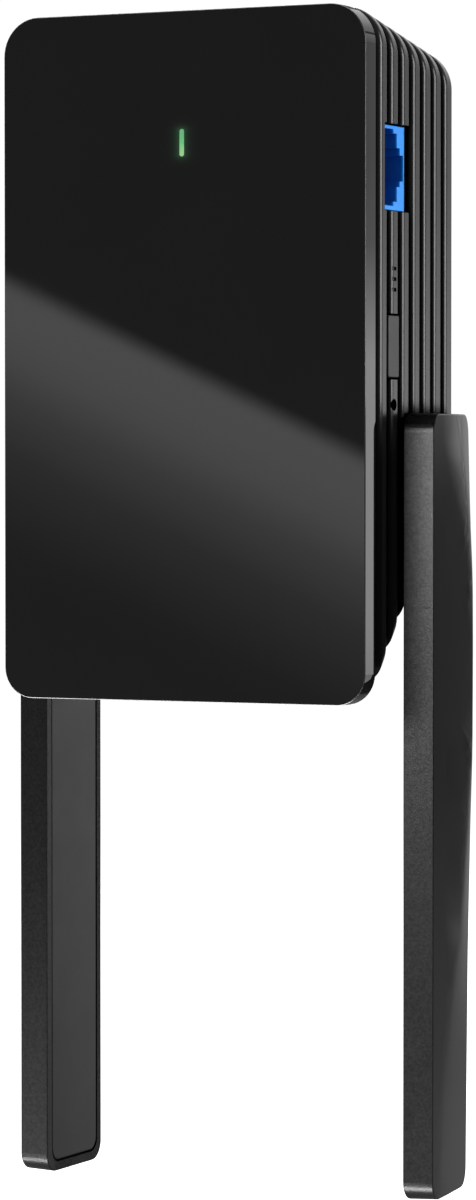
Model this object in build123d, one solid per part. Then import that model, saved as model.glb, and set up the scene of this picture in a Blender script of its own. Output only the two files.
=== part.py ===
from build123d import *
import os
import math

# Plug-in wifi range extender: ribbed housing, mains plug on the back, two folding antennas
# that hang down. Millimetres.
# Modelled from the centre of the front face: x across, y = depth behind the front face,
# z = height above the face's centre. Export moves the origin to the middle of the plug on
# the face that touches the wall: +X right, +Y into the wall, +Z up.
# A pair named _X, _Y or _Z is a (from, to) range along that axis.

os.makedirs("parts", exist_ok=True)

# ---------------------------------------------------------------- driving dimensions
FACE_W, FACE_H = 61.32, 105.0            # front cover
FACE_R_TOP, FACE_R_BOTTOM = 5.9, 4.7     # front cover, corner radii
SKIRT_DEPTH = 3.67                       # depth of the front cover's side wall
FACE_T = 2.2                             # thickness of the front cover's face
COVER_WALL = 1.5
DEPTH = 35.0                             # front face to wall face
PLUG_Z = 14.0
GAP = 0.02                               # air between neighbouring pieces

# The ribs' crests form a wedge: z = start + slope * y above and below
CREST_X = 30.24                          # half width over the crests
TOP_START, TOP_SLOPE = 53.95, 0.18       # the top falls with depth
BOTTOM_START, BOTTOM_SLOPE = -57.764, 1.07
R_TOP, R_BOTTOM = 6.0, 3.3               # corner radii of the rib loops
GROOVE = 1.3                             # depth of the grooves between the ribs
WALL = 1.8                               # housing wall under the grooves
INSIDE = GROOVE + WALL                   # from the crests to the inner face of the wall
INSIDE_R_TOP = R_TOP - GROOVE - WALL
RIBS = [(6.20, 8.91), (10.26, 13.03), (14.40, 17.14), (18.51, 21.29),
        (22.58, 25.42), (26.62, 29.43), (30.70, 33.80)]    # front and back y of each rib
RIB_BACK_Y = RIBS[-1][1]

HOOK_Z = (-34.0, 42.0)                   # heights of the front cover's snap hooks
LIGHT_X, LIGHT_Z = 0.03, 32.5
POSTS = [(-22.5, 42.0), (22.5, 42.0), (-18.5, -13.5), (18.5, -13.5)]   # x, z
POST_BACK = 31.9
STANDS = [(-20.0, -5.0), (20.0, -5.0), (-20.0, 33.0), (20.0, 33.0)]    # x, z

BOARD_Y = (4.6, 6.2)                     # main board
BOARD_SEAT = BOARD_Y[1] + GAP            # main board parts start here
POWER_Y = (27.0, 28.6)                   # power board
POWER_SEAT = POWER_Y[0] - GAP            # power board parts end here

PORT_Y, PORT_Z = (8.0, 17.6), (21.95, 35.2)    # network port cut-out
JACK_X = 29.35                           # outer face of the network jack
BUTTON_Y, BUTTON_Z = (9.5, 13.45), (-3.2, 6.2)
RESET_Y, RESET_Z, RESET_R = 11.6, -7.3, 0.9

HINGE_Y, HINGE_Z = 23.08, -17.9          # antenna hinge axis, parallel to x
HINGE_BORE_R = 3.55                      # hole in the housing
BARREL_R, BARREL_BORE_R = 3.5, 1.6
BOSS_X = 30.55

ANTENNA_X0, ANTENNA_X1 = 30.76, 35.68    # inner face, front edge of the outer face
ANTENNA_Y = (13.88, 32.28)
ANTENNA_Z = (-128.85, -8.45)
ANTENNA_R = 3.0
ANTENNA_WALL = 1.3

BLADE_PITCH, BLADE_T, BLADE_W, BLADE_L = 12.7, 1.5, 6.35, 16.5
PLUG_W, PLUG_H, PLUG_R = 26.0, 18.0, 2.0
FLANGE_W, FLANGE_H, FLANGE_R = 29.0, 21.0, 2.4


# ---------------------------------------------------------------- helpers
def middle(span):
    return sum(span) / 2


def length(span):
    return span[1] - span[0]


def box(x0, x1, y0, y1, z0, z1):
    """Box between two opposite corners."""
    centre = Pos((x0 + x1) / 2, (y0 + y1) / 2, (z0 + z1) / 2)
    return centre * Box(abs(x1 - x0), abs(y1 - y0), abs(z1 - z0))


def plane_x(x, y, z):
    return Plane(origin=(x, y, z), x_dir=(0, 1, 0), z_dir=(1, 0, 0))


def plane_y(x, y, z):
    return Plane(origin=(x, y, z), x_dir=(1, 0, 0), z_dir=(0, 1, 0))


def cyl_x(x0, x1, y, z, radius):
    x0, x1 = sorted((x0, x1))
    return extrude(plane_x(x0, y, z) * Circle(radius), amount=x1 - x0)


def cyl_y(y0, y1, x, z, radius):
    return extrude(plane_y(x, y0, z) * Circle(radius), amount=y1 - y0)


def cyl_z(z0, z1, x, y, radius):
    plane = Plane(origin=(x, y, z0), x_dir=(1, 0, 0), z_dir=(0, 0, 1))
    return extrude(plane * Circle(radius), amount=z1 - z0)


def hinge_cyl(x0, x1, radius):
    return cyl_x(x0, x1, HINGE_Y, HINGE_Z, radius)


def slab_y(width, height, radius, y0, y1, x=0.0, z=0.0):
    """Rounded rectangle facing the front, extruded along the depth."""
    return extrude(plane_y(x, y0, z) * RectangleRounded(width, height, radius), amount=y1 - y0)


def slab_x(depth, height, radius, x0, x1, y, z):
    """Rounded rectangle facing sideways, extruded along x."""
    return extrude(plane_x(x0, y, z) * RectangleRounded(depth, height, radius), amount=x1 - x0)


def top_z(y, inset=0.0):
    return TOP_START - TOP_SLOPE * y - inset * math.hypot(1, TOP_SLOPE)


def bottom_z(y, inset=0.0):
    return BOTTOM_START + BOTTOM_SLOPE * y + inset * math.hypot(1, BOTTOM_SLOPE)


def wedge(inset, r_top, r_bottom, y0, y1):
    """The crests' wedge moved inwards, its long edges rounded, cut to a depth range."""
    front, back, half = 0.0, 42.0, CREST_X - inset
    outline = Polyline((-half, front, top_z(front, inset)), (-half, back, top_z(back, inset)),
                       (-half, back, bottom_z(back, inset)),
                       (-half, front, bottom_z(front, inset)), close=True)
    block = extrude(make_face(outline), amount=2 * half, dir=(1, 0, 0))

    def long_edges():
        return [e for e in block.edges()
                if abs(abs(e.center().X) - half) < 1e-6 and 1.0 < e.center().Y < 41.0]

    block = fillet([e for e in long_edges() if e.center().Z > 20], r_top)
    # the length test leaves out the short edges the first fillet may add
    block = fillet([e for e in long_edges() if e.center().Z < 10 and e.length > 20], r_bottom)
    return block & box(-60, 60, y0, y1, -90, 90)


def end_edges(shape, axis, end):
    """Edges of the first (0) or last (-1) face along an axis."""
    return shape.faces().sort_by(axis)[end].edges()


def try_fillet(shape, edges, *radii):
    """Fillet with the first radius the kernel accepts; if none works, leave the edges sharp."""
    for radius in radii:
        # guards against a radius that is too large for the neighbouring faces
        try:
            done = fillet(edges, radius)
            if done.is_valid and done.volume > 0:
                return done
        except Exception:
            pass
    return shape


def cut_cross(screw, x, z, y0, y1, half_length, half_width):
    """Cross slot in a screw head."""
    screw -= box(x - half_length, x + half_length, y0, y1, z - half_width, z + half_width)
    return screw - box(x - half_width, x + half_width, y0, y1, z - half_length, z + half_length)


def write(name, *shapes):
    shift = Location((0, -DEPTH, -PLUG_Z))
    placed = [shift * solid for shape in shapes for solid in shape.solids()]
    whole = placed[0] if len(placed) == 1 else Compound(children=placed)
    export_step(whole, f"parts/{name}.step")


def write_pair(name, shape):
    """The right-hand piece, and its mirror image for the left."""
    write("right_" + name, shape)
    write("left_" + name, *[mirror(solid, about=Plane.YZ) for solid in shape.solids()])


# ---------------------------------------------------------------- front cover
def face_block(inset, y0, y1):
    """The front cover's outline, moved inwards, with its larger top corners."""
    half_w, half_h, mid = FACE_W / 2 - inset, FACE_H / 2 - inset, (y0 + y1) / 2
    block = box(-half_w, half_w, y0, y1, -half_h, half_h)

    def corners():
        return [e for e in block.edges() if abs(e.center().Y - mid) < 1e-6]

    block = fillet([e for e in corners() if e.center().Z > 0], FACE_R_TOP - inset)
    return fillet([e for e in corners() if e.center().Z < -half_h + 1e-6],
                  FACE_R_BOTTOM - inset)


def front_cover():
    cover = face_block(0.0, 0.0, SKIRT_DEPTH)
    cover = fillet(end_edges(cover, Axis.Y, 0), 0.14)
    cover -= face_block(COVER_WALL, FACE_T, SKIRT_DEPTH + 1)
    # snap tongues that reach into the housing's neck, each with a hook
    for side in (-1, 1):
        for z in HOOK_Z:
            cover += box(side * 25.75, side * 26.95, FACE_T - 0.2, 7.2, z - 4, z + 4)
            cover += box(side * 26.9, side * 27.75, 5.15, 6.55, z - 3, z + 3)
    return cover - slab_y(0.85, 4.25, 0.42, -1, FACE_T + 1, LIGHT_X, LIGHT_Z)   # light slot


def light_pipe():
    """Thin tip in the light slot, wide shoulder behind the face, stem towards the LED."""
    pipe = slab_y(0.75, 4.15, 0.37, 0.06, FACE_T + 0.2, LIGHT_X, LIGHT_Z)
    pipe += slab_y(3.0, 6.4, 1.0, FACE_T + GAP, FACE_T + 0.9, LIGHT_X, LIGHT_Z)
    return pipe + slab_y(1.8, 4.6, 0.6, FACE_T + 0.7, 3.66, LIGHT_X, LIGHT_Z)


write("front_cover", front_cover())
write("light_pipe", light_pipe())


# ---------------------------------------------------------------- ribbed housing
def ribbed_shell():
    """Ribs on a smooth core, with the neck and hinge bosses, hollowed out."""
    housing = wedge(GROOVE, R_TOP - GROOVE, R_BOTTOM - GROOVE, 5.8, RIB_BACK_Y)
    for y0, y1 in RIBS:
        rib = wedge(0.0, R_TOP, R_BOTTOM, y0, y1)
        rib = try_fillet(rib, end_edges(rib, Axis.Y, 0), 1.15, 1.0, 0.8)
        rib = try_fillet(rib, end_edges(rib, Axis.Y, -1), 0.32, 0.25, 0.2)
        housing += rib
    housing += slab_y(57.8, 101.6, 4.3, FACE_T + 0.25, 6.6)   # neck inside the front cover
    for side in (-1, 1):
        housing += hinge_cyl(side * 27.0, side * BOSS_X, 6.6)
    housing -= wedge(INSIDE, INSIDE_R_TOP, 1.2, 5.8, 40.0)
    housing -= slab_y(54.2, 98.0, 2.8, 0.0, 5.9)
    for side in (-1, 1):
        housing += hinge_cyl(side * 26.1, side * 27.6, 6.3)    # inner hinge boss
        housing -= hinge_cyl(side * 20.0, side * 36.0, HINGE_BORE_R)
        for z in HOOK_Z:    # pockets for the snap hooks
            housing -= box(side * 26.5, side * 27.95, 4.95, 6.75, z - 3.3, z + 3.3)
    return housing


def add_posts(housing):
    """Screw posts with the webs that tie them to the walls, and their pilot holes."""
    inner = wedge(INSIDE - 0.6, 3.4, 1.0, 5.9, 33.0)
    webs = None
    for x, z in POSTS:
        web_front, web_end = (9.5, 60.0) if z > 0 else (11.5, -60.0)
        web = box(x - 0.8, x + 0.8, web_front, POST_BACK, z, web_end) & inner
        post = cyl_y(BOARD_SEAT, POST_BACK, x, z, 2.6)
        webs = web + post if webs is None else webs + web + post
    housing += webs
    for x, z in POSTS:
        housing -= cyl_y(19.0, 33.0, x, z, 1.27)
        housing -= cyl_y(5.0, 12.0, x, z, 1.02)
    return housing


def cut_cooling_slots(housing):
    """Slots in the floors of the grooves, above and below."""
    grooves = [(rib[1] + following[0]) / 2 for rib, following in zip(RIBS, RIBS[1:])]
    half = 0.5
    for y in grooves[1:6]:
        for x0, x1 in ((-17.0, -1.5), (1.5, 17.0)):
            housing -= box(x0, x1, y - half, y + half, top_z(y) - 7.5, top_z(y) + 1.0)
    for y in grooves[1:5]:
        for x0, x1 in ((-16.5, -1.5), (1.5, 16.5)):
            housing -= box(x0, x1, y - half, y + half, bottom_z(y) - 1.5, bottom_z(y) + 7.0)
    return housing


def cut_side_openings(housing):
    """Openings in the right-hand side."""
    # network port: the cut through ribs and wall, and the recess for the jack's nose
    housing -= box(JACK_X + 0.08, 40.0, *PORT_Y, *PORT_Z)
    housing -= box(26.0, JACK_X + 0.1, 7.0, PORT_Y[1], *PORT_Z)
    # button opening and reset hole
    housing -= box(26.0, 40.0, BUTTON_Y[0] - 0.22, BUTTON_Y[1] + 0.22,
                   BUTTON_Z[0] - 0.3, BUTTON_Z[1] + 0.3)
    housing -= cyl_x(26.0, 40.0, RESET_Y, RESET_Z, RESET_R)
    # three engraved ticks above the button
    for z in (10.1, 11.7, 13.3):
        housing -= box(30.05, 31.0, 10.95, 12.35, z - 0.28, z + 0.28)
    return housing


write("rib_housing", cut_side_openings(cut_cooling_slots(add_posts(ribbed_shell()))))


# ---------------------------------------------------------------- back cover and plug
def back_cover():
    rim = wedge(1.0, R_TOP - 1.0, R_BOTTOM - 1.0, 33.86, DEPTH)
    rim = try_fillet(rim, end_edges(rim, Axis.Y, -1), 0.6, 0.4)
    back = rim + wedge(INSIDE + 0.18, INSIDE_R_TOP, 1.0, 31.95, 34.2)
    # opening for the plug base, wider in front for its flange
    back -= slab_y(PLUG_W + 0.3, PLUG_H + 0.3, PLUG_R + 0.2, 30.0, 40.0, z=PLUG_Z)
    back -= slab_y(FLANGE_W + 0.4, FLANGE_H + 0.4, FLANGE_R + 0.2, 30.0, 32.3, z=PLUG_Z)
    for x, z in POSTS:    # screw holes and counterbores
        back -= cyl_y(30.0, 40.0, x, z, 1.5)
        back -= cyl_y(33.5, 40.0, x, z, 2.5)
    for x, z in STANDS:   # stand-offs for the power board
        back += cyl_y(POWER_Y[1] + GAP, 32.2, x, z, 2.2)
        back -= cyl_y(27.0, 33.2, x, z, 0.95)
    return back


def blade_box(side, y0, y1, clearance=0.0):
    x = side * BLADE_PITCH / 2
    half_t, half_w = BLADE_T / 2 + clearance, BLADE_W / 2 + clearance
    return box(x - half_t, x + half_t, y0, y1, PLUG_Z - half_w, PLUG_Z + half_w)


def plug_base():
    base = slab_y(PLUG_W, PLUG_H, PLUG_R, 31.6, DEPTH, z=PLUG_Z)
    base += slab_y(FLANGE_W, FLANGE_H, FLANGE_R, 30.8, 32.25, z=PLUG_Z)
    for side in (-1, 1):
        base -= blade_box(side, 29.0, 40.0, clearance=0.01)
    return base


def plug_blade(side):
    x, tip_y = side * BLADE_PITCH / 2, DEPTH + BLADE_L
    blade = blade_box(side, 29.2, tip_y)
    blade = chamfer([e for e in blade.edges() if abs(e.center().Y - tip_y) < 1e-6], 0.55)
    return blade - cyl_x(x - 2, x + 2, DEPTH + 11.9, PLUG_Z, 1.55)


def blade_contact(side):
    """Leaf along the blade's outer side, with a foot on the power board."""
    x = side * (BLADE_PITCH / 2 + BLADE_T / 2 + 0.03)
    front, z0, z1 = POWER_Y[1] + GAP, PLUG_Z - 2.5, PLUG_Z + 2.5
    return box(x, x + side * 0.5, front, 30.7, z0, z1) + box(x, x + side * 3.0, front, 29.1, z0, z1)


write("back_cover", back_cover())
write("plug_base", plug_base())
write("plug_blades", *[plug_blade(side) for side in (-1, 1)])
write("blade_contacts", *[blade_contact(side) for side in (-1, 1)])


# ---------------------------------------------------------------- main board
def main_board():
    board = slab_y(50.4, 90.0, 2.5, *BOARD_Y, z=0.8)
    for x, z in POSTS:
        board -= cyl_y(4.0, 7.0, x, z, 1.3)
    return board


def main_board_screw(x, z):
    screw = cyl_y(3.1, BOARD_Y[0] - GAP, x, z, 2.0) + cyl_y(4.5, 11.5, x, z, 1.0)
    screw = try_fillet(screw, end_edges(screw, Axis.Y, 0), 0.5)
    return cut_cross(screw, x, z, 3.0, 3.8, half_length=1.1, half_width=0.2)


def heat_spreader():
    spreader = slab_y(32.0, 19.0, 1.0, 9.22, 10.2, z=-27.5)
    for i in range(6):    # upright fins
        x = -14.5 + i * 5.8
        spreader += box(x - 0.5, x + 0.5, 10.0, 15.0, -33.0, -19.0)
    return spreader


# Rounded blocks on the main board: width, height, corner radius, back y, x, z
BOARD_BLOCKS = {
    "processor_chip": [(12.0, 12.0, 0.3, 7.3, -5.5, -29.0)],
    "memory_chip": [(8.0, 10.0, 0.2, 7.2, 6.5, -29.0)],
    "lan_transformer": [(11.0, 13.0, 0.4, 9.6, 3.0, 28.6)],
    "crystal": [(3.2, 2.5, 0.3, 7.0, -16.5, -6.0)],
    "core_inductor": [(6.0, 6.0, 0.8, 9.0, -12.0, 2.0)],
    "wireless_chips": [(7.0, 7.0, 0.2, 7.1, -21.0, -36.0), (7.0, 7.0, 0.2, 7.1, 20.4, -36.0)],
}
for name, blocks in BOARD_BLOCKS.items():
    write(name, *[slab_y(width, height, radius, BOARD_SEAT, back, x, z)
                  for width, height, radius, back, x, z in blocks])

SHIELD_Z = -30.0
write("main_board", main_board())
write("status_led", slab_y(1.6, 3.2, 0.2, 3.74, BOARD_Y[0] - GAP, LIGHT_X, LIGHT_Z))
write("main_board_screws", *[main_board_screw(x, z) for x, z in POSTS])
write("shield_frame", slab_y(30.0, 24.0, 1.0, BOARD_SEAT, 7.9, z=SHIELD_Z)
      - slab_y(29.2, 23.2, 0.7, 6.0, 8.0, z=SHIELD_Z))
write("shield_lid", slab_y(30.8, 24.8, 1.2, 7.0, 8.2, z=SHIELD_Z)
      - slab_y(30.06, 24.06, 1.02, 6.9, 7.92, z=SHIELD_Z))
write("thermal_pad", slab_y(22.0, 16.0, 1.0, 8.22, 9.2, z=-29.0))
write("heat_spreader", heat_spreader())

# ---------------------------------------------------------------- network jack
JACK_INNER_X = 11.0
# Steps of the mouth, each open to the right: inner x, y range, z range
JACK_MOUTH = [(15.5, 7.8, 13.2, 22.84, 34.47), (16.5, 13.0, 14.5, 23.5, 33.85),
              (17.0, 14.0, 15.6, 25.8, 31.7), (18.5, 15.0, 16.85, 26.7, 30.65)]
WIRE_MID_Z, WIRE_PITCH = 28.65, 1.02


def ethernet_jack():
    jack = box(JACK_INNER_X, 27.0, BOARD_SEAT, 18.9, 21.0, 36.2)
    jack += box(26.5, JACK_X, 7.15, 17.15, 22.2, 34.95)    # nose
    for x, *ranges in JACK_MOUTH:
        jack -= box(x, 40.0, *ranges)
    inner = [e for e in jack.edges() if abs(e.center().X - JACK_INNER_X) < 1e-6]
    return try_fillet(jack, inner, 0.4)


def jack_wire(i):
    """L-shaped contact along the front and inner end of the mouth."""
    z = WIRE_MID_Z + (i - 3.5) * WIRE_PITCH
    z0, z1 = z - 0.17, z + 0.17
    return box(15.56, 26.5, 7.86, 8.2, z0, z1) + box(15.56, 15.95, 7.86, 11.5, z0, z1)


write("ethernet_jack", ethernet_jack())
write("ethernet_contacts", *[jack_wire(i) for i in range(8)])


# ---------------------------------------------------------------- push button and switches
def wps_button():
    """Cap, wider flange inside the wall, and a nub that reaches the switch."""
    y, z, height = middle(BUTTON_Y), middle(BUTTON_Z), length(BUTTON_Z)
    button = slab_x(length(BUTTON_Y), height, 0.35, 26.6, CREST_X, y, z)
    button = try_fillet(button, end_edges(button, Axis.X, -1), 0.22)
    button += slab_x(5.6, height + 1.8, 0.5, 25.95, 27.02, y, z)
    return button + box(24.64, 26.2, 10.0, 12.6, 0.2, 2.8)


def write_switch(name, face_x, z, reach):
    """Side-actuated switch: the body, and the plunger it guides."""
    y = 11.2
    body = box(face_x - 5.9, face_x, BOARD_SEAT, 13.4, z - 3.0, z + 3.0)
    body -= cyl_x(face_x - 3.9, face_x - 1.1, y, z, 2.45)
    body -= cyl_x(face_x - 2.0, face_x + 1.0, y, z, 1.8)
    plunger = cyl_x(face_x - 2.0, face_x + reach, y, z, 1.75)
    plunger = try_fillet(plunger, end_edges(plunger, Axis.X, -1), 0.3)
    plunger += cyl_x(face_x - 1.95, face_x - 1.15, y, z, 2.35)
    write(name + "_switch_body", body)
    write(name + "_switch_plunger", plunger)


write("wps_button", wps_button())
write_switch("wps", face_x=23.4, z=1.5, reach=1.2)
write_switch("reset", face_x=23.9, z=RESET_Z, reach=1.6)


# ---------------------------------------------------------------- power board
def power_board():
    board = slab_y(47.0, 47.0, 2.0, *POWER_Y, z=14.2)
    for x, z in STANDS:
        board -= cyl_y(26.0, 29.0, x, z, 1.1)
    return board


def power_board_screw(x, z):
    screw = cyl_y(25.6, POWER_SEAT, x, z, 1.8) + cyl_y(26.9, 32.6, x, z, 0.93)
    return cut_cross(screw, x, z, 25.5, 26.2, half_length=1.0, half_width=0.18)


CORE_Y = 20.2    # axis of the transformer's winding and centre leg


def transformer_core():
    """Plates below and above, two side legs and a round centre leg."""
    core = box(-8.4, 8.4, 14.4, 26.0, 4.6, 7.0) + box(-8.4, 8.4, 14.4, 26.0, 17.0, 19.4)
    core += box(-8.4, -5.8, 14.4, 26.0, 6.9, 17.1) + box(5.8, 8.4, 14.4, 26.0, 6.9, 17.1)
    return core + cyl_z(6.9, 17.1, 0.0, CORE_Y, 2.9)


def can(front, x, z, radius, rounding):
    """Capacitor standing on the power board, its front edge rounded."""
    body = cyl_y(front, POWER_SEAT, x, z, radius)
    return try_fillet(body, end_edges(body, Axis.Y, 0), rounding)


def line_choke():
    x, z = -1.0, 32.5
    choke = cyl_y(17.5, 19.0, x, z, 3.8) + cyl_y(18.5, 25.5, x, z, 2.4)
    return choke + cyl_y(25.2, POWER_SEAT, x, z, 3.8)


# Rounded blocks on the power board: width, height, corner radius, front y, x, z
POWER_BLOCKS = {
    "transformer_bobbin": (18.0, 16.0, 1.0, 26.05, 0.0, 12.0),
    "line_capacitor": (13.0, 5.5, 0.6, 17.0, 0.5, 25.0),
    "bridge_rectifier": (6.5, 5.0, 0.3, 24.4, -12.0, -4.5),
    "power_controller": (5.0, 4.0, 0.2, 25.4, 6.0, -3.5),
}
for name, (width, height, radius, front, x, z) in POWER_BLOCKS.items():
    write(name, slab_y(width, height, radius, front, POWER_SEAT, x, z))

write("power_board", power_board())
write("power_board_screws", *[power_board_screw(x, z) for x, z in STANDS])
write("transformer_core", transformer_core())
write("transformer_winding",
      cyl_z(7.2, 16.8, 0.0, CORE_Y, 5.6) - cyl_z(5.0, 19.0, 0.0, CORE_Y, 3.1))
write("bulk_capacitors", *[can(12.9, -15.4, z, radius=4.9, rounding=0.6) for z in (24.0, 11.0)])
write("output_capacitor", can(15.5, 15.2, 10.0, radius=4.0, rounding=0.5))
write("line_choke", line_choke())
write("fuse", cyl_x(-11.5, -3.5, 25.1, 0.5, 1.8))

# folded sheet between the mains side and the main board
write("insulating_sheet", box(-23.0, 9.6, 11.6, 11.9, -8.0, 38.0)
      + box(-23.0, 9.6, 11.6, 27.9, 37.72, 38.0))

# low-voltage header and the leads between the boards
HEADER_X, HEADER_Z, HEADER_BACK = 12.5, -7.0, 11.0
write("power_header", slab_y(6.0, 5.0, 0.4, BOARD_SEAT, HEADER_BACK, HEADER_X, HEADER_Z))
write("power_leads", *[cyl_y(HEADER_BACK + GAP, POWER_SEAT, HEADER_X + dx, HEADER_Z, 0.6)
                       for dx in (-1.3, 1.3)])


def housing_screw(x, z):
    """Screw driven from behind."""
    screw = cyl_y(33.52, 34.85, x, z, 2.2) + cyl_y(22.0, 33.6, x, z, 1.25)
    return cut_cross(screw, x, z, 34.1, 36.0, half_length=1.2, half_width=0.22)


write("housing_screws", *[housing_screw(x, z) for x, z in POSTS])

# ---------------------------------------------------------------- antennas (right-hand side)
# x of the outer face's back edge: z, x
BACK_EDGE = [(10, 33.55), (0, 33.62), (-8, 33.70), (-10, 33.76), (-20, 34.0), (-30, 34.38),
             (-39, 34.60), (-45, 34.64), (-58, 34.55), (-67, 34.38), (-76, 34.17), (-86, 33.95),
             (-95, 33.80), (-109, 33.69), (-118, 33.60), (-123, 33.56), (-130, 33.52),
             (-140, 33.5)]
# Crease where the outer face starts to fall away: z, fraction of the depth from the front
CREASE = [(10, 0.50), (-8, 0.58), (-10, 0.60), (-17, 0.75), (-26, 0.90), (-34, 1.0),
          (-55, 1.0), (-63, 0.99), (-71.8, 0.88), (-80.5, 0.79), (-89.3, 0.65), (-98, 0.48),
          (-106.8, 0.33), (-115.6, 0.22), (-128, 0.12), (-140, 0.10)]
BACK_EDGE_MAX = 34.64         # largest x in BACK_EDGE
LENS_FRONT, LENS_DEPTH = 14.1, 17.9
FALL_POWER = 1.35             # curvature of the fall behind the crease


def interpolate(table, z):
    if z >= table[0][0]:
        return table[0][1]
    for (upper, start), (lower, end) in zip(table, table[1:]):
        if upper >= z >= lower:
            return start + (end - start) * ((upper - z) / (upper - lower))
    return table[-1][1]


def smoothed(table, z):
    return sum(interpolate(table, z + dz) for dz in (-4, -2, 0, 2, 4)) / 5


def outer_x(y, z):
    """Outer face of the antenna: a shallow lens that falls away to the back corners."""
    along = (y - LENS_FRONT) / LENS_DEPTH
    drop = (ANTENNA_X1 - BACK_EDGE_MAX) * along
    fall = max(BACK_EDGE_MAX - smoothed(BACK_EDGE, z), 0.0)
    crease = min(smoothed(CREASE, z), 0.985)
    if along > 1:
        drop += fall * (1 + FALL_POWER * (along - 1) / (1 - crease))
    elif along > crease:
        drop += fall * ((along - crease) / (1 - crease)) ** FALL_POWER
    return ANTENNA_X1 - drop


def beyond_outer(dx):
    """Everything outside the outer face, which is moved by dx."""
    z_count, y_count = 45, 15
    rows = []
    for i in range(z_count):
        z = 2.0 - i * (137.0 / (z_count - 1))
        depths = [12.6 + j * (20.6 / (y_count - 1)) for j in range(y_count)]
        rows.append([Vector(outer_x(y, z) + dx, y, z) for y in depths])
    face = Face.make_surface_from_array_of_points(rows, tol=0.02, min_deg=3, max_deg=5)
    return Solid.extrude(face, Vector(9, 0, 0))


INNER_COVER_Y, INNER_COVER_Z = (15.65, 30.55), (-127.1, -10.4)
INNER_COVER_MID = (middle(INNER_COVER_Y), middle(INNER_COVER_Z))


def antenna_shell():
    y, z = middle(ANTENNA_Y), middle(ANTENNA_Z)
    depth, height = length(ANTENNA_Y), length(ANTENNA_Z)
    block = loft([
        plane_x(ANTENNA_X0, y, z) * RectangleRounded(depth, height, ANTENNA_R),
        plane_x(ANTENNA_X0 + 5.4, y, z)
        * RectangleRounded(depth - 0.5, height - 0.5, ANTENNA_R - 0.25)])
    shell = block - beyond_outer(0.0)
    shell = try_fillet(shell, end_edges(shell, Axis.X, -1), 0.16, 0.12, 0.2)
    inner_rim = shell.faces().sort_by(Axis.X)[0].outer_wire().edges()
    shell = try_fillet(shell, inner_rim, 0.18, 0.15)
    # seat of the inner cover, and the hollow behind it
    shell -= slab_x(length(INNER_COVER_Y) + 0.6, length(INNER_COVER_Z) + 0.6, 2.2,
                    ANTENNA_X0 - 1, 32.02, *INNER_COVER_MID)
    hollow = slab_x(13.2, 114.4, 1.6, 31.9, 37.0, *INNER_COVER_MID)
    return shell - (hollow - beyond_outer(-ANTENNA_WALL))


def antenna_cover():
    cover = slab_x(length(INNER_COVER_Y), length(INNER_COVER_Z), 2.0,
                   ANTENNA_X0 + GAP, 32.0, *INNER_COVER_MID)
    cover = try_fillet(cover, end_edges(cover, Axis.X, 0), 0.22)
    return cover - hinge_cyl(30.0, 33.0, BARREL_R + 0.02)


def hinge_barrel():
    """Tube with a flange at the antenna end and a groove for the clip."""
    barrel = hinge_cyl(24.2, 32.7, BARREL_R)
    barrel += hinge_cyl(32.04, 32.75, 5.2)
    barrel -= hinge_cyl(25.0, 25.72, 5.0) - hinge_cyl(24.9, 25.8, 2.9)
    return barrel - hinge_cyl(24.0, 34.0, BARREL_BORE_R)


def hinge_clip():
    clip = hinge_cyl(25.03, 25.69, 5.2) - hinge_cyl(24.9, 25.8, 2.92)
    return clip - box(24.9, 25.8, HINGE_Y - 1.7, HINGE_Y + 1.7, HINGE_Z, HINGE_Z + 6)


SOCKET_X = 22.3


def coax_lead():
    """Along the hinge axis, then down to the socket on the main board."""
    start, bend = (32.76, HINGE_Y, HINGE_Z), (24.6, HINGE_Y, HINGE_Z)
    path = Wire([
        Line(start, bend),
        Spline([bend, (22.9, 20.0, -18.6), (22.4, 13.0, -20.0), (SOCKET_X, 8.3, -22.6),
                (SOCKET_X, 7.3, -24.9)],
               tangents=[(-1, 0, 0), (0, -0.25, -1)]),
    ])
    return sweep(Plane(origin=start, z_dir=(-1, 0, 0)) * Circle(0.68), path=path)


write_pair("antenna_shell", antenna_shell())
write_pair("antenna_cover", antenna_cover())
write_pair("hinge_barrel", hinge_barrel())
write_pair("hinge_clip", hinge_clip())
write_pair("hinge_washer", hinge_cyl(25.73, 26.05, 5.9) - hinge_cyl(25.6, 26.1, 3.55))
write_pair("antenna_radiator", box(32.78, 33.08, 18.6, 25.6, -119.0, -13.4))
write_pair("coax_lead", coax_lead())
write_pair("coax_socket", cyl_y(BOARD_SEAT, 8.2, SOCKET_X, -26.42, 1.45))
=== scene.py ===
"""Plug-in wireless unit with a network jack and two hinged antennas, in a pale studio.

Metres, Z up. The gloss front faces -Y, the antennas stand on the -X (left) and +X (right)
sides, and the network jack opens towards +X. The camera looks from the front right.
"""
import bpy
import math
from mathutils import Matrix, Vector


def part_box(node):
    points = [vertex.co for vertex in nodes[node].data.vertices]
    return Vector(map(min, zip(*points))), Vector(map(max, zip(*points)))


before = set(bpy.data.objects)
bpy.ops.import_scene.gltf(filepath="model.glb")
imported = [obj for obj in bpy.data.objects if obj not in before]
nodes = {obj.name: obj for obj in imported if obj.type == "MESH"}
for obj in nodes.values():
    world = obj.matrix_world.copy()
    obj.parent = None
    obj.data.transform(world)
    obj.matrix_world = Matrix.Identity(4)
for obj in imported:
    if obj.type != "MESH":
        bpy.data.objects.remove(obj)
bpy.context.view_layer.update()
scene = bpy.context.scene

MM = 0.001
FLOOR_Z = -0.22
FLOOR_HALF_SIZE = 12.0
FRONT_FACE_Y = -34.95 * MM
JACK_FACE_X = 29.33 * MM

pipe_low, pipe_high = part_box("light_pipe")
PIPE_X = (pipe_low.x + pipe_high.x) / 2
PIPE_Z = (pipe_low.z + pipe_high.z) / 2


# ------------------------------------------------------------------ shader helpers
def grey(value):
    return (value, value, value, 1.0)


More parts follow.
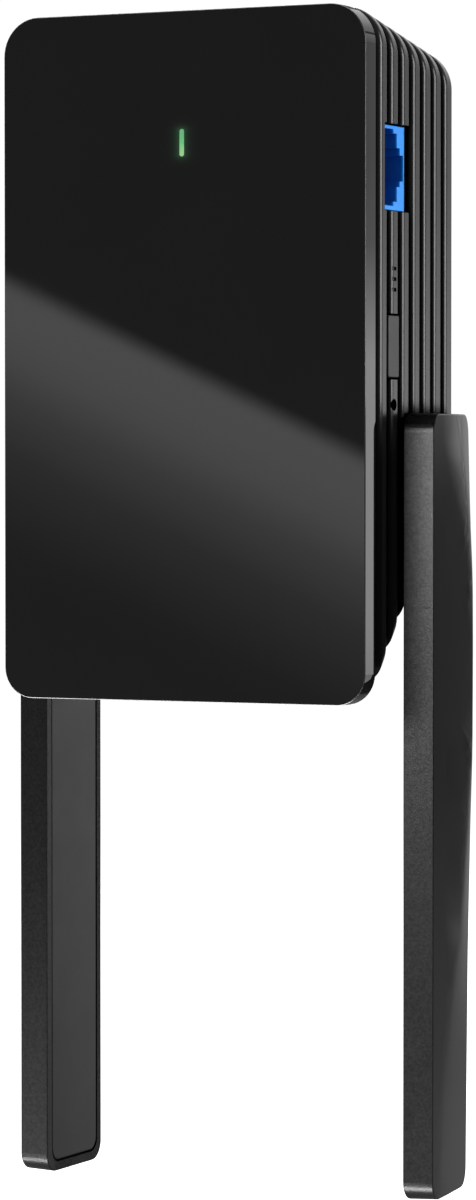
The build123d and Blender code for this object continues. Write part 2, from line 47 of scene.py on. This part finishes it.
def shade(color, gain, lift=0.0):
    """The colour made lighter or darker, held at 1."""
    return tuple(min(1.0, channel * gain + lift) for channel in color[:3]) + (1.0,)


class ShaderTree:
    """The node tree of a material or world, with a short method for each common step."""

    def __init__(self, block, output_kind="OutputMaterial"):
        self.block = block
        block.use_nodes = True
        block.node_tree.nodes.clear()
        self.output = self.node(output_kind)
        self.object_coords = None

    def node(self, kind, inputs=None, **settings):
        """Adds a node. Each input takes a value, or a socket to link from."""
        node = self.block.node_tree.nodes.new("ShaderNode" + kind)
        for key, value in settings.items():
            setattr(node, key, value)
        for key, value in (inputs or {}).items():
            if isinstance(value, bpy.types.NodeSocket):
                self.block.node_tree.links.new(value, node.inputs[key])
            else:
                node.inputs[key].default_value = value
        return node

    def surface(self, shader):
        """Links the shader node to the output and returns the material or world."""
        self.block.node_tree.links.new(shader.outputs[0], self.output.inputs[0])
        return self.block

    def principled(self, **inputs):
        named = {key.replace("_", " "): value for key, value in inputs.items()}
        return self.surface(self.node("BsdfPrincipled", named))

    def emission(self, color, strength):
        return self.surface(self.node("Emission", {0: color, 1: strength}))

    def math(self, operation, first, second=0.0, third=0.0):
        inputs = {0: first, 1: second, 2: third}
        return self.node("Math", inputs, operation=operation).outputs[0]

    def add(self, first, second):
        return self.math("ADD", first, second)

    def sub(self, first, second):
        return self.math("SUBTRACT", first, second)

    def mul(self, first, second):
        return self.math("MULTIPLY", first, second)

    def weighted(self, first, second):
        """Sum of two (value, weight) pairs."""
        return self.add(self.mul(*first), self.mul(*second))

    def vary(self, base, pattern, swing):
        """The base raised by up to the swing."""
        return self.add(base, self.mul(pattern, swing))

    def vary_around(self, middle, pattern, swing):
        """The middle raised and lowered by half the swing."""
        return self.vary(middle, self.sub(pattern, 0.5), swing)

    def vector_math(self, operation, first, second=(0, 0, 0)):
        node = self.node("VectorMath", {0: first, 1: second}, operation=operation)
        return node.outputs["Value" if operation == "DOT_PRODUCT" else 0]

    def coords(self):
        if self.object_coords is None:
            self.object_coords = self.node("TexCoord").outputs["Object"]
        return self.object_coords

    def squeezed(self, factors):
        """Object coordinates times a factor per axis: patterns shrink along large ones."""
        return self.vector_math("MULTIPLY", self.coords(), factors)

    def geometry(self, output):
        return self.node("NewGeometry").outputs[output]

    def is_camera_ray(self):
        return self.node("LightPath").outputs["Is Camera Ray"]

    def xyz(self, vector=None):
        return self.node("SeparateXYZ", {0: vector or self.coords()}).outputs

    def noise(self, scale, detail=3.0, roughness=0.55, vector=None, distortion=0.0):
        return self.node("TexNoise", {
            "Vector": vector or self.coords(), "Scale": scale, "Detail": detail,
            "Roughness": roughness, "Distortion": distortion}).outputs["Fac"]

    def voronoi(self, scale, feature="F1", randomness=1.0):
        inputs = {"Vector": self.coords(), "Scale": scale, "Randomness": randomness}
        return self.node("TexVoronoi", inputs, feature=feature).outputs["Distance"]

    def stripes(self, coordinate, per_metre):
        """Triangle wave from 0 to 1 and back over two stripe widths."""
        return self.math("PINGPONG", self.mul(coordinate, per_metre), 1.0)

    def ramp(self, value, stops):
        """Colour ramp through (position, colour) stops."""
        node = self.node("ValToRGB", {"Fac": value})
        elements = node.color_ramp.elements
        elements.remove(elements[-1])
        elements[0].position, elements[0].color = stops[0]
        for position, color in stops[1:]:
            elements.new(position).color = color
        return node.outputs["Color"]

    def grey_ramp(self, value, stops):
        return self.ramp(value, [(position, grey(level)) for position, level in stops])

    def span(self, value, start, end, low=0.0, high=1.0):
        """Maps start..end to low..high, clamped."""
        inputs = dict(enumerate((value, start, end, low, high)))
        return self.node("MapRange", inputs, clamp=True).outputs[0]

    def mix(self, factor, first, second, blend_type="MIX"):
        inputs = {0: factor, 6: first, 7: second}
        return self.node("Mix", inputs, data_type="RGBA", blend_type=blend_type).outputs[2]

    def bump(self, height, strength, distance, normal=None):
        inputs = {"Height": height, "Strength": strength, "Distance": distance}
        if normal is not None:
            inputs["Normal"] = normal
        return self.node("Bump", inputs).outputs[0]


def material_tree(name):
    return ShaderTree(bpy.data.materials.new(name))


def edge_mask(tree, radius):
    """1 on sharp edges and 0 on open faces, with the rounded normal it is read from."""
    rounded = tree.node("Bevel", {"Radius": radius}, samples=4).outputs[0]
    agreement = tree.vector_math("DOT_PRODUCT", rounded, tree.geometry("Normal"))
    return tree.span(tree.sub(1.0, agreement), 0.02, 0.25), rounded


# ------------------------------------------------------------------ shared finishes
def moulded(name, base, roughness, grain, wear, grain_size=0.22, mottle=0.25, hollow_shade_reach=None):
    """Moulded plastic: mottled tone, uneven gloss, fine grain, rubbed edges and, when asked,
    painted shade in hollows.

    Grain is a bump strength; grain_size and the reach of the painted shade in hollows are in mm.
    """
    tree = material_tree(name)
    tone = tree.weighted((tree.noise(scale=60, detail=4), 0.6),
                         (tree.noise(scale=900, detail=3), 0.4))
    color = tree.mix(tree.span(tone, 0.35, 0.65), shade(base, 1 - mottle), shade(base, 1 + mottle))
    if wear:
        mask, normal = edge_mask(tree, radius=0.12 * MM)
        gloss_swing = 0.16
    else:
        # Unworn parts keep their true normals and a trace of rubbing
        surface = tree.node("NewGeometry").outputs
        mask, normal = tree.span(surface["Pointiness"], 0.52, 0.62), surface["Normal"]
        wear, gloss_swing = 0.02, 0.06
    rubbed = tree.mul(mask, tree.span(tree.noise(scale=260, detail=5), 0.42, 0.7))
    rubbed = tree.mul(rubbed, wear)
    color = tree.mix(rubbed, color, shade(base, gain=2.2, lift=0.02))
    roughness = tree.vary_around(roughness, tree.noise(scale=140, detail=4), gloss_swing)
    roughness = tree.sub(roughness, tree.mul(rubbed, 0.08))
    height = tree.weighted((tree.voronoi(1000 / grain_size, "SMOOTH_F1"), 0.7),
                           (tree.noise(scale=2400 / grain_size, detail=2), 0.5))
    normal = tree.bump(height, grain, 0.02 * MM, normal)
    specular = 0.5
    # Painted shade: colour and specular darkened in hollows found by an occlusion test
    if hollow_shade_reach:
        occlusion = tree.node("AmbientOcclusion", {"Distance": hollow_shade_reach * MM}, samples=6)
        openness = tree.span(occlusion.outputs["AO"], 0.66, 0.95)
        specular = tree.mul(specular, openness)
        color = tree.mix(openness, grey(0.001), color)
    return tree.principled(Base_Color=color, Roughness=roughness, Normal=normal,
                           Specular_IOR_Level=specular)


def metal(name, base, roughness, squeeze=(1, 1, 1)):
    """Plated or rolled metal: drawn lines, stains and brighter rubbed edges."""
    tree = material_tree(name)
    lines = tree.noise(scale=1500, detail=3, vector=tree.squeezed(squeeze))
    stain = tree.span(tree.noise(scale=120, detail=5), 0.35, 0.7)
    color = tree.mix(stain, shade(base, gain=0.72), base)
    mask, rounded = edge_mask(tree, radius=0.08 * MM)
    color = tree.mix(tree.mul(mask, 0.5), color, shade(base, gain=1.25))
    return tree.principled(
        Base_Color=color, Metallic=1.0, Roughness=tree.vary_around(roughness, lines, swing=0.25),
        Normal=tree.bump(lines, strength=0.25, distance=0.01 * MM, normal=rounded))


def board(name, base, track):
    """Circuit board: solder mask, raised tracks under it and pale plated dots."""
    tree = material_tree(name)
    x, _, z = tree.xyz()
    across, along = [tree.span(tree.stripes(axis, per_metre=900), 0.55, 0.62) for axis in (x, z)]
    direction = tree.span(tree.voronoi(160), 0.28, 0.32)
    lines = tree.mix(direction, across, along)
    zone = tree.span(tree.noise(scale=55, detail=2), 0.46, 0.5)
    color = tree.mix(tree.mul(lines, zone), base, track)
    dots = tree.span(tree.voronoi(420, randomness=0.9), 0.16, 0.13)
    color = tree.mix(dots, color, (0.62, 0.6, 0.5, 1))
    height = tree.weighted((lines, 0.6), (tree.noise(scale=2500, detail=2), 0.2))
    return tree.principled(
        Base_Color=color, Roughness=tree.vary(0.34, tree.noise(scale=300, detail=3), swing=0.2),
        Normal=tree.bump(height, strength=0.4, distance=0.03 * MM))


# ------------------------------------------------------------------ single finishes
def piano_black():
    """Near-mirror black: orange peel, hair scratches and a green halo at the light pipe."""
    tree = material_tree("piano_black")

    def scratches(squeeze, scale, low, high, patch_scale):
        """Thin streaks of stretched noise, kept in patches."""
        streaks = tree.noise(scale=scale, detail=2, vector=tree.squeezed(squeeze))
        patches = tree.span(tree.noise(scale=patch_scale, detail=3), 0.5, 0.7)
        return tree.mul(tree.span(streaks, low, high), patches)

    level = scratches((1.0, 1.0, 22.0), scale=90, low=0.66, high=0.74, patch_scale=40)
    upright = scratches((26.0, 1.0, 1.0), scale=80, low=0.68, high=0.76, patch_scale=33)
    smear = tree.span(tree.noise(scale=26, detail=5, roughness=0.6), 0.45, 0.75)
    roughness = tree.vary(0.018, smear, swing=0.018)
    roughness = tree.vary(roughness, tree.math("MAXIMUM", level, upright), swing=0.03)
    color = tree.mix(tree.noise(scale=50, detail=3),
                     (0.0042, 0.0042, 0.0044, 1), (0.0062, 0.0062, 0.0064, 1))

    # Halo: squared distance from an upright line on the pipe, in fall-off widths
    half_line, width_x, width_z = 1.75 * MM, 0.55 * MM, 0.38 * MM
    x, y, z = tree.xyz()
    away_x = tree.math("DIVIDE", tree.sub(x, PIPE_X), width_x)
    past_end = tree.sub(tree.math("ABSOLUTE", tree.sub(z, PIPE_Z)), half_line)
    away_z = tree.math("DIVIDE", tree.math("MAXIMUM", past_end, 0.0), width_z)
    squared = tree.weighted((away_x, away_x), (away_z, away_z))

    def halo(rate):
        return tree.math("POWER", 2.718, tree.mul(squared, rate))

    glow = tree.weighted((halo(rate=-0.55), 0.045), (halo(rate=-0.13), 0.017))
    glow = tree.mul(glow, tree.span(y, FRONT_FACE_Y + 0.05 * MM, FRONT_FACE_Y))

    # Rounded rim, where the normal lies between frontal and sideways, is duller and painted paler
    # as a highlight line
    normal_x, normal_y, normal_z = tree.xyz(tree.geometry("True Normal"))
    sideways = tree.math("SQRT", tree.weighted((normal_x, normal_x), (normal_z, normal_z)))
    painted_highlight_rim = tree.span(tree.mul(sideways, tree.math("ABSOLUTE", normal_y)), 0.12, 0.30)
    peel = tree.noise(scale=170, detail=2, roughness=0.4)
    return tree.principled(
        Base_Color=tree.mix(painted_highlight_rim, color, grey(0.06)),
        Roughness=tree.vary(roughness, painted_highlight_rim, swing=0.30),
        Normal=tree.bump(peel, strength=0.035, distance=0.02 * MM),
        Specular_IOR_Level=tree.vary(0.5, painted_highlight_rim, swing=0.5),
        Emission_Color=(0.28, 1.0, 0.42, 1), Emission_Strength=glow)


def light_guide():
    """Milky green guide, glowing brightest in its lower half."""
    tree = material_tree("light_guide")
    half_height = 2.1 * MM
    _, _, z = tree.xyz()
    color = tree.ramp(tree.span(z, PIPE_Z - half_height, PIPE_Z + half_height), [
        (0.0, (0.36, 0.66, 0.30, 1)), (0.25, (0.28, 0.62, 0.26, 1)),
        (0.5, (0.14, 0.55, 0.20, 1)), (1.0, (0.13, 0.42, 0.20, 1))])
    speck = tree.noise(scale=1800, detail=3)
    strength = tree.vary(0.70, speck, swing=0.35)
    # Only a quarter of the glow lights other surfaces
    seen = tree.add(tree.mul(tree.is_camera_ray(), 0.75), 0.25)
    return tree.principled(
        Base_Color=(0.03, 0.08, 0.04, 1), Roughness=0.35,
        Emission_Color=color, Emission_Strength=tree.mul(strength, seen),
        Normal=tree.bump(speck, strength=0.2, distance=0.02 * MM))


def port_blue():
    """Bright blue moulding of the network jack, with flow marks, painted shade darkening the
    inside and a painted glow on the outer face.
    """
    tree = material_tree("port_blue")
    flow = tree.noise(scale=200, detail=4, distortion=0.6)
    color = tree.mix(tree.span(flow, 0.3, 0.7), (0.008, 0.22, 0.80, 1), (0.012, 0.30, 0.92, 1))
    mask, rounded = edge_mask(tree, radius=0.1 * MM)
    color = tree.mix(tree.mul(mask, 0.30), color, (0.05, 0.42, 1.0, 1))
    x, _, _ = tree.xyz()
    # Painted glow on the jack's outer face
    face = tree.span(x, 29.0 * MM, JACK_FACE_X)
    # Painted shade: the colour darkens deeper inside the jack
    color = tree.mix(tree.span(x, 29.3 * MM, 24.0 * MM), color, (0.004, 0.15, 0.52, 1))
    fine = tree.noise(scale=2600, detail=2)
    return tree.principled(
        Base_Color=color, Roughness=tree.vary(0.30, flow, swing=0.14),
        Normal=tree.bump(fine, strength=0.15, distance=0.02 * MM, normal=rounded),
        Emission_Color=(0.004, 0.30, 0.92, 1), Emission_Strength=tree.mul(face, 0.30))


def insulating_film():
    """Slightly clear, creased film."""
    tree = material_tree("insulating_film")
    cloud = tree.noise(scale=90, detail=4)
    crease = tree.span(tree.voronoi(60, "DISTANCE_TO_EDGE"), 0.0, 0.05)
    return tree.principled(
        Base_Color=tree.mix(cloud, (0.72, 0.72, 0.66, 1), (0.86, 0.86, 0.80, 1)),
        Roughness=tree.vary(0.2, cloud, swing=0.2), Transmission_Weight=0.25,
        Normal=tree.bump(crease, strength=0.2, distance=0.1 * MM))


def winding_tape():
    """Yellow tape in level turns, with brown stains."""
    tree = material_tree("winding_tape")
    _, _, z = tree.xyz()
    turns = tree.stripes(z, per_metre=1400)
    color = tree.mix(tree.span(turns, 0.2, 0.8), (0.55, 0.40, 0.03, 1), (0.80, 0.62, 0.08, 1))
    stain = tree.span(tree.noise(scale=260, detail=4), 0.5, 0.8)
    return tree.principled(
        Base_Color=tree.mix(stain, color, (0.42, 0.30, 0.04, 1)),
        Roughness=tree.vary(0.3, tree.noise(scale=500, detail=3), swing=0.2),
        Normal=tree.bump(turns, strength=0.4, distance=0.08 * MM))


def capacitor_sleeve():
    """Dark wrinkled sleeve with pale stripes."""
    tree = material_tree("capacitor_sleeve")
    x, _, _ = tree.xyz()
    stripe = tree.span(tree.stripes(x, per_metre=95), 0.86, 0.88)
    wrinkle = tree.noise(scale=240, detail=4, vector=tree.squeezed((1, 6, 1)))
    return tree.principled(
        Base_Color=tree.mix(stripe, (0.012, 0.016, 0.03, 1), (0.45, 0.46, 0.48, 1)),
        Roughness=tree.vary(0.22, wrinkle, swing=0.2),
        Normal=tree.bump(wrinkle, strength=0.25, distance=0.05 * MM))


def antenna_skin():
    """Antenna shell: satin outer face, fine grain on the narrow edges, painted shade on surfaces
    that face up.
    """
    tree = material_tree("antenna_skin")
    normal_x, normal_y, normal_z = tree.xyz(tree.geometry("True Normal"))
    x, y, z = tree.xyz()

    def facing_out():
        """X normal, positive away from the unit's middle."""
        return tree.mul(normal_x, tree.math("SIGN", x))

    outward = tree.span(facing_out(), 0.72, 0.9)
    inward = tree.mul(tree.span(facing_out(), -0.72, -0.9),
                      tree.span(y, -19.6 * MM, -18.0 * MM, low=0.35, high=1.0))
    painted_shade_top = tree.span(normal_z, 0.12, 0.45)

    # Colour, with painted shade darkening surfaces that face up
    cloud = tree.noise(scale=55, detail=4)
    tone = tree.weighted((cloud, 0.3), (tree.noise(scale=1400, detail=3), 0.7))
    speck = tree.span(tree.noise(scale=2400, detail=2, roughness=0.7), 0.33, 0.67)
    edge_tone = tree.mul(tree.add(tree.span(tone, 0.38, 0.62), speck), 0.5)
    edge_color = tree.mix(edge_tone, grey(0.009), grey(0.021))
    face_color = tree.mix(tree.span(cloud, 0.3, 0.7), grey(0.0065), grey(0.0085))
    color = tree.mix(outward, edge_color, face_color)
    color = tree.mix(painted_shade_top, color, grey(0.003))

    # Roughness, lower where the surface tips up or down
    edge_rough = tree.vary_around(0.44, tree.noise(scale=200, detail=4), swing=0.14)
    face_rough = tree.vary_around(0.17, tree.noise(scale=120, detail=5), swing=0.07)
    roughness = tree.weighted((outward, face_rough), (tree.sub(1.0, outward), edge_rough))
    tipped = tree.span(tree.math("ABSOLUTE", normal_z), 0.05, 0.2)
    roughness = tree.sub(roughness, tree.mul(tipped, 0.16))

    # Specular: speckled on the edges, weak on inward surfaces and, with the painted shade, on
    # surfaces that face up
    speckle = tree.mul(tree.sub(speck, 0.5), tree.sub(0.19, tree.mul(outward, 0.16)))
    specular = tree.sub(tree.add(0.5, speckle), tree.weighted((painted_shade_top, 0.42), (inward, 0.38)))
    specular = tree.math("MAXIMUM", specular, 0.04)

    # The outer face's normal leans towards +Y past a line that slants with height
    line_y = tree.span(z, -45.0 * MM, -27.0 * MM, low=-5.6 * MM, high=-17.0 * MM)
    lean = tree.span(tree.sub(y, line_y), 0.0, 8.0 * MM, low=0.0, high=0.11)
    lean = tree.mul(lean, tree.span(z, -60.0 * MM, -48.0 * MM))
    extra = tree.math("MAXIMUM", tree.sub(tree.add(lean, 0.058), normal_y), 0.0)
    extra = tree.mul(extra, tree.mul(outward, tree.span(normal_y, 0.30, 0.20)))
    tilt = tree.node("CombineXYZ", {1: extra}).outputs[0]

    height = tree.weighted((tree.voronoi(4300, "SMOOTH_F1"), 0.7),
                           (tree.noise(scale=7000, detail=2), 0.6))
    strength = tree.add(tree.mul(outward, -0.92), 0.97)
    grained = tree.bump(height, strength, distance=0.024 * MM)
    normal = tree.vector_math("NORMALIZE", tree.vector_math("ADD", grained, tilt))
    return tree.principled(Base_Color=color, Roughness=roughness, Normal=normal,
                           Specular_IOR_Level=specular)


# ------------------------------------------------------------------ finish of each piece
def sides(*pieces):
    return [side + piece for side in ("left_", "right_") for piece in pieces]


# (material, pieces that wear it)
FINISHES = [
    (piano_black(), ["front_cover"]),
    # The housing gets painted shade in its grooves
    (moulded("housing_satin", grey(0.009), 0.25, grain=0.025, wear=0, grain_size=0.10,
             mottle=0.15, hollow_shade_reach=2.4), ["rib_housing", "back_cover"]),
    (antenna_skin(), sides("antenna_shell")),
    (moulded("panel_matte", (0.0148, 0.0150, 0.0158, 1.0), 0.45, grain=0.30, wear=0.15,
             grain_size=0.16, mottle=0.15), sides("antenna_cover")),
    (moulded("button_satin", grey(0.016), 0.38, grain=0.15, wear=0.3, grain_size=0.12,
             mottle=0.15), ["wps_button"]),
    (moulded("plug_plastic", grey(0.012), 0.5, grain=0.35, wear=0.2, grain_size=0.3),
     ["plug_base", "transformer_bobbin"]),
    (moulded("barrel_acetal", grey(0.018), 0.36, grain=0.1, wear=0.3), sides("hinge_barrel")),
    (moulded("chip_package", grey(0.022), 0.52, grain=0.4, wear=0.3, grain_size=0.08),
     ["processor_chip", "memory_chip", "wireless_chips", "power_controller",
      "bridge_rectifier", "lan_transformer", "wps_switch_body", "reset_switch_body"]),
    (moulded("ferrite", grey(0.035), 0.62, grain=0.8, wear=0.4, grain_size=0.15),
     ["core_inductor", "transformer_core", "line_choke"]),
    (moulded("thermal_pad", (0.36, 0.42, 0.55, 1), 0.75, grain=0.5, wear=0.1, grain_size=0.3),
     ["thermal_pad"]),
    (moulded("capacitor_box", (0.66, 0.46, 0.06, 1), 0.4, grain=0.15, wear=0.3),
     ["line_capacitor"]),
    (moulded("natural_nylon", (0.74, 0.72, 0.64, 1), 0.42, grain=0.1, wear=0.2),
     ["fuse", "power_header"]),
    (moulded("red_plunger", (0.40, 0.03, 0.02, 1), 0.38, grain=0.1, wear=0.3),
     ["wps_switch_plunger", "reset_switch_plunger"]),
    (moulded("lead_jacket", grey(0.02), 0.55, grain=0.3, wear=0.2, grain_size=0.1),
     ["power_leads"] + sides("coax_lead")),
    (metal("nickel_blade", (0.72, 0.69, 0.62, 1), 0.24, squeeze=(1, 0.06, 1)), ["plug_blades"]),
    (metal("gold_plate", (0.86, 0.62, 0.26, 1), 0.25, squeeze=(0.1, 1, 1)),
     ["ethernet_contacts", "blade_contacts"] + sides("coax_socket")),
    (metal("zinc_screw", (0.56, 0.57, 0.58, 1), 0.30),
     ["main_board_screws", "power_board_screws", "housing_screws"]
     + sides("hinge_clip", "hinge_washer")),
    (metal("tin_plate", (0.66, 0.66, 0.66, 1), 0.34, squeeze=(0.2, 1, 1)),
     ["crystal", "shield_frame", "shield_lid"]),
    (metal("aluminium_sheet", (0.78, 0.78, 0.79, 1), 0.36, squeeze=(1, 1, 0.08)),
     ["heat_spreader"]),
    (board("solder_mask_green", (0.010, 0.085, 0.035, 1), track=(0.022, 0.16, 0.06, 1)),
     ["main_board"] + sides("antenna_radiator")),
    (board("paper_laminate", (0.26, 0.15, 0.05, 1), track=(0.36, 0.22, 0.08, 1)),
     ["power_board"]),
    (light_guide(), ["light_pipe", "status_led"]),
    (port_blue(), ["ethernet_jack"]),
    (insulating_film(), ["insulating_sheet"]),
    (winding_tape(), ["transformer_winding"]),
    (capacitor_sleeve(), ["bulk_capacitors", "output_capacitor"]),
]
material_of = {piece: material for material, pieces in FINISHES for piece in pieces}

for name, piece in nodes.items():
    piece.data.materials.clear()
    piece.data.materials.append(material_of[name])


# ------------------------------------------------------------------ camera
def add_object(name, data):
    added = bpy.data.objects.new(name, data)
    scene.collection.objects.link(added)
    return added


def aim(item, direction):
    item.rotation_mode = "QUATERNION"
    item.rotation_quaternion = direction.to_track_quat("-Z", "Y")


def add_camera():
    lens = bpy.data.cameras.new("camera")
    camera = add_object("camera", lens)
    lens.sensor_width = 36.0
    lens.lens = 134.27
    lens.clip_start, lens.clip_end = 0.01, 50
    camera.location = (0.30497, -0.64426, -0.02992)
    turn, drop = math.radians(25.867), math.radians(1.770)  # from +Y towards -X, and down
    aim(camera, Vector((-math.sin(turn) * math.cos(drop),
                        math.cos(turn) * math.cos(drop), -math.sin(drop))))
    scene.camera = camera


# ------------------------------------------------------------------ studio cards
def card(name, low, high, material, casts_shadow=False):
    """Upright rectangle between two opposite corners, hidden from the camera."""
    corners = [low, (high[0], high[1], low[2]), high, (low[0], low[1], high[2])]
    mesh = bpy.data.meshes.new(name)
    mesh.from_pydata(corners, [], [(0, 1, 2, 3)])
    added = add_object(name, mesh)
    mesh.materials.append(material)
    added.visible_camera = False
    added.visible_shadow = casts_shadow
    return added


def front_card():
    """Soft box seen in the gloss face: a slanting upper edge and a slow fall-off below."""
    tree = material_tree("front_card")
    x, _, z = tree.xyz(tree.geometry("Position"))
    edge_z = tree.math("MULTIPLY_ADD", x, -0.4518, -0.1368)
    below = tree.mul(tree.sub(edge_z, z), 1000.0)
    first, last = -10.0, 110.0
    # (mm below the slanting edge, brightness)
    profile = [
        (-10, 0.165), (-3.2, 0.165), (-1.5, 0.42), (0.5, 0.85), (2.5, 1.35), (4.5, 1.55),
        (14, 1.50), (23, 1.34), (36, 0.86), (45, 0.65), (53, 0.46), (67, 0.31), (80, 0.19),
        (92, 0.15), (110, 0.15)]
    strength = 2.0  # keeps the ramp's greys below 1
    color = tree.grey_ramp(tree.span(below, first, last), [
        ((depth - first) / (last - first), level / strength) for depth, level in profile])
    y = -0.635
    return card("front_soft_box", (-0.52, y, -0.26), (-0.12, y, 0.16),
                tree.emission(color, strength))


def side_card():
    """Panel behind and to the right, brighter below, for surfaces that face sideways."""
    tree = material_tree("side_card")
    x, _, z = tree.xyz(tree.geometry("Position"))
    # (fraction of the height from z = -0.3 to 0.3, brightness)
    color = tree.grey_ramp(tree.span(z, -0.30, 0.30), [
        (0.0, 0.42), (0.24, 0.35), (0.29, 0.31), (0.365, 0.58), (0.50, 0.60),
        (0.530, 0.38), (0.558, 0.19), (0.60, 0.145), (1.0, 0.135)])
    upper_left = tree.mul(tree.span(x, 0.300, 0.270), tree.span(z, 0.0, 0.03))
    color = tree.mix(tree.mul(upper_left, 0.7), color, grey(0.32))
    y = 0.565
    return card("side_soft_box", (0.25, y, -0.5), (0.62, y, 0.5),
                tree.emission(color, strength=3.0))


def back_card():
    """Graded card behind the unit, seen in the right antenna's outer face."""
    tree = material_tree("back_card")
    x, _, z = tree.xyz(tree.geometry("Position"))
    # (fraction of the way from x = -0.10 to 0.18, brightness)
    across = tree.grey_ramp(tree.span(x, -0.10, 0.18), [
        (0.0, 0.40), (0.50, 0.40), (0.66, 0.36), (0.80, 0.20), (0.90, 0.105), (1.0, 0.10)])
    added = tree.mix(tree.span(z, -0.036, 0.014), grey(0.0), grey(0.62))
    added = tree.mix(tree.span(z, -0.115, -0.195), added, grey(0.20))
    foot = tree.mix(tree.span(x, 0.118, 0.088), grey(0.55), grey(0.22))
    dimming = tree.mix(tree.span(z, -0.130, -0.180), grey(1.0), foot)
    color = tree.mix(1.0, across, dimming, blend_type="MULTIPLY")
    color = tree.mix(1.0, color, added, blend_type="ADD")
    y = 0.40
    card("back_card", (-0.10, y, -0.6), (0.175, y, 0.6), tree.emission(color, strength=1.0))


def side_flag():
    """Black flag on the right: shades the ribs from the side strip."""
    tree = material_tree("flag_black")
    material = tree.principled(
        Base_Color=tree.mix(tree.noise(scale=40, detail=2), grey(0.02), grey(0.03)),
        Roughness=0.9, Specular_IOR_Level=0.0,
        Emission_Color=grey(1.0), Emission_Strength=0.035)
    x = 0.045
    card("side_flag", (x, -0.075, -0.072), (x, -0.006, -0.0215), material, casts_shadow=True)


# ------------------------------------------------------------------ lights
def limit(light, pieces, state):
    """Lets a light reach only these pieces (INCLUDE), or all but these (EXCLUDE)."""
    receivers = bpy.data.collections.new(light.name + "_receivers")
    for piece in pieces:
        receivers.objects.link(nodes[piece])
    light.light_linking.receiver_collection = receivers
    for member in receivers.collection_objects:
        member.light_linking.link_state = state


def area(name, location, target, size, power, size_y=None, spread=180):
    """Rectangular light, square unless size_y is given; spread in degrees."""
    lamp = bpy.data.lights.new(name, "AREA")
    lamp.shape = "RECTANGLE"
    lamp.size = size
    lamp.size_y = size_y or size
    lamp.energy = power
    lamp.spread = math.radians(spread)
    light = add_object(name, lamp)
    light.location = location
    aim(light, Vector(target) - Vector(location))
    light.visible_camera = False
    return light


def add_lights():
    left, right = shells = sides("antenna_shell")
    right_and_blades = [right, "plug_blades"]
    limit(front_card(), shells, "EXCLUDE")
    limit(side_card(), right_and_blades, "EXCLUDE")
    back_card()
    side_flag()
    limit(area("right_strip", (0.85, 0.22, 0.0), (0, 0, -0.02), size=0.30, power=7.6, size_y=0.9),
          right_and_blades, "EXCLUDE")
    area("top_box", (-0.15, -0.20, 0.75), (0, 0, -0.02), size=0.5, power=4.0)
    limit(area("under_box", (-0.08, -0.04, -0.212), (-0.07, -0.04, 0), size=0.26, power=2.2),
          ["front_cover"], "INCLUDE")
    limit(area("key_box", (-0.75, -0.75, 0.75), (0, 0, -0.04), size=0.6, power=6.0),
          shells, "EXCLUDE")
    limit(area("right_key", (0.0, -0.23, 0.005), (0.033, 0, -0.03), size=0.10, power=0.092,
               size_y=0.06, spread=68), [right], "INCLUDE")
    limit(area("left_key", (-0.085, -0.127, -0.165), (-0.033, -0.02, -0.14), size=0.05,
               power=0.02), [left], "INCLUDE")
    # Small lights just above the floor, aimed straight up
    for name, x, y, power, shell in (("right_foot", -0.002, -0.093, 0.14, right),
                                     ("left_foot", -0.077, -0.088, 0.125, left)):
        limit(area(name, (x, y, -0.215), (x, y, 0), size=0.05, power=power), [shell], "INCLUDE")
    area("back_box", (-0.7, 0.9, 0.6), (0, 0, -0.02), size=0.7, power=9.0)


# ------------------------------------------------------------------ world and floor
def add_world():
    """White to the camera, dim grey to everything else."""
    scene.world = bpy.data.worlds.new("studio")
    tree = ShaderTree(scene.world, "OutputWorld")
    dim = tree.node("Background", {0: (0.138, 0.139, 0.143, 1)}).outputs[0]
    white = tree.node("Background", {0: grey(1.02)}).outputs[0]
    tree.surface(tree.node("MixShader", {0: tree.is_camera_ray(), 1: dim, 2: white}))


def pale_floor():
    """Pale and glowing to the camera, dark to other rays, clear from below."""
    tree = material_tree("pale_floor")
    camera_ray = tree.is_camera_ray()
    pale = tree.mix(tree.noise(scale=3, detail=3), grey(0.80), grey(0.86))
    diffuse = tree.node("BsdfDiffuse", {0: tree.mix(camera_ray, grey(0.16), pale)})
    glow = tree.node("Emission", {0: grey(1.0), 1: tree.mul(camera_ray, 0.93)})
    top = tree.node("AddShader", {0: diffuse.outputs[0], 1: glow.outputs[0]})
    clear = tree.node("BsdfTransparent")
    return tree.surface(tree.node("MixShader", {
        0: tree.geometry("Backfacing"), 1: top.outputs[0], 2: clear.outputs[0]}))


def add_floor():
    material = pale_floor()
    half = FLOOR_HALF_SIZE
    mesh = bpy.data.meshes.new("floor")
    mesh.from_pydata([(-half, -half, 0), (half, -half, 0), (half, half, 0), (-half, half, 0)],
                     [], [(0, 1, 2, 3)])
    floor = add_object("floor", mesh)
    floor.location = (0, 0, FLOOR_Z)
    mesh.materials.append(material)


add_camera()
add_lights()
add_world()
add_floor()

scene.view_settings.view_transform = "Standard"
scene.view_settings.look = "None"
scene.view_settings.exposure = 0.0
scene.view_settings.gamma = 1.0
